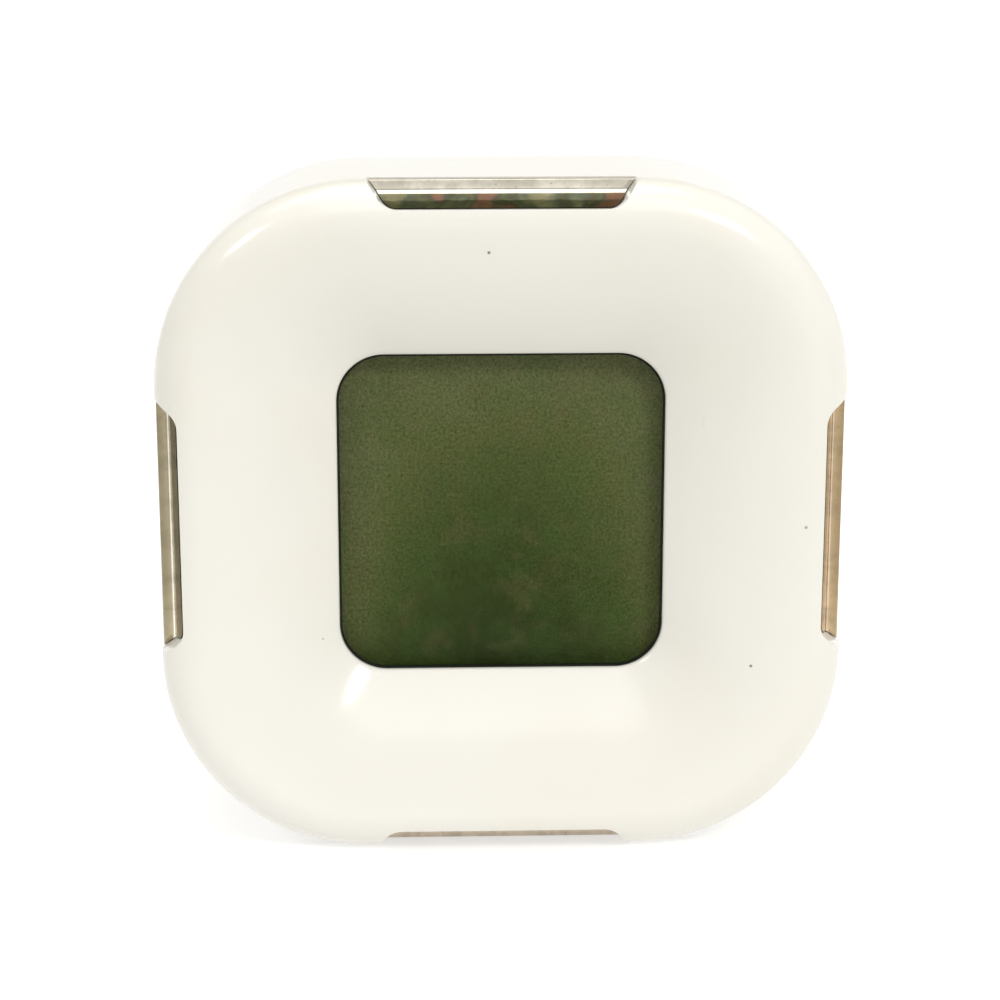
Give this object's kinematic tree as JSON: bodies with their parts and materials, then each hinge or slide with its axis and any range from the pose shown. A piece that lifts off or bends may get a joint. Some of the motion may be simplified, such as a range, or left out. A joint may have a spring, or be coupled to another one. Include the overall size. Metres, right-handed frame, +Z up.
{
  "type": "digital desk clock and thermometer",
  "caption": "Rounded-square desk clock and thermometer: glossy white case, dished bezel round a square display, mirrored notch in each side, turned onto a side to change what it shows.",
  "frame": {"origin": "middle of the footprint that the clock stands on", "axes": "+Z up, the display faces -Y, +X to the right of someone who reads it"},
  "size_m": [0.08, 0.0354, 0.08],
  "materials": {
    "casing": "glossy warm white moulding",
    "mirror_trim": "mirror-bright chrome plating",
    "clear_plastic": "clear polished acrylic",
    "display_glass": "thin display glass with a green cast",
    "display_film": "olive green film",
    "white_plastic": "plain white moulding",
    "contact_rubber": "pink silicone with conducting layers",
    "foam": "black closed-cell foam",
    "led": "yellow-white diode body",
    "board": "green solder mask",
    "black_plastic": "black moulding",
    "steel": "nickel-plated steel",
    "cell_jacket": null,
    "black_lead": "black insulated wire",
    "red_lead": "red insulated wire"
  },
  "bodies": {
    "case": {"front_shell": "casing", "rear_shell": "casing", "trim_top": "mirror_trim", "trim_right": "mirror_trim", "trim_bottom": "mirror_trim", "trim_left": "mirror_trim", "display_lens": "clear_plastic", "light_guide": "clear_plastic", "lcd_front_glass": "display_glass", "lcd_rear_glass": "display_glass", "front_polariser": "display_film", "reflector_film": "display_film", "lcd_frame": "white_plastic", "contact_strip_upper": "contact_rubber", "contact_strip_lower": "contact_rubber", "backlight_led_left": "led", "backlight_led_right": "led", "circuit_board": "board", "display_gasket": "black_plastic", "chip_cover": "black_plastic", "capacitor": "black_plastic", "thermistor": "black_plastic", "buzzer": "black_plastic", "tilt_housing": "black_plastic", "tilt_lid": "black_plastic", "switch_body_set": "black_plastic", "switch_body_down": "black_plastic", "switch_body_up": "black_plastic", "switch_body_unit": "black_plastic", "crystal": "steel", "terminal_negative": "steel", "terminal_positive": "steel", "bridge_terminal": "steel", "spring_negative": "steel", "spring_bridge": "steel", "case_screw_1": "steel", "case_screw_2": "steel", "case_screw_3": "steel", "case_screw_4": "steel", "board_screw_1": "steel", "board_screw_2": "steel", "board_screw_3": "steel", "board_screw_4": "steel", "battery_upper": "cell_jacket", "battery_lower": "cell_jacket", "lead_black": "black_lead", "lead_red": "red_lead"},
    "battery_door": {"battery_door": "casing", "battery_pad": "foam"},
    "tilt_ball": {"tilt_ball": "steel"},
    "button_set": {"button_set": "casing", "switch_plunger_set": "white_plastic"},
    "button_down": {"button_down": "casing", "switch_plunger_down": "white_plastic"},
    "button_up": {"button_up": "casing", "switch_plunger_up": "white_plastic"},
    "button_unit": {"button_unit": "casing", "switch_plunger_unit": "white_plastic"}
  },
  "joints": [
    {"name": "battery_door_hinge", "type": "hinge", "parent": "case", "child": "battery_door", "pos_m": [0, 0.0169, 0.0483], "axis": [1, 0, 0], "range_deg": [0, 60]},
    {"name": "button_set_press", "type": "slide", "parent": "case", "child": "button_set", "axis": [0, -1, 0], "range_m": [0, 0.0005], "stiffness_N_per_m": 2000},
    {"name": "button_down_press", "type": "slide", "parent": "case", "child": "button_down", "axis": [0, -1, 0], "range_m": [0, 0.0005], "stiffness_N_per_m": 2000},
    {"name": "button_up_press", "type": "slide", "parent": "case", "child": "button_up", "axis": [0, -1, 0], "range_m": [0, 0.0005], "stiffness_N_per_m": 2000},
    {"name": "button_unit_press", "type": "slide", "parent": "case", "child": "button_unit", "axis": [0, -1, 0], "range_m": [0, 0.0005], "stiffness_N_per_m": 2000},
    {"name": "tilt_ball_drop", "type": "slide", "parent": "case", "child": "tilt_ball", "axis": [0, 0, 1], "range_m": [0, 0.0019]}
  ]
}
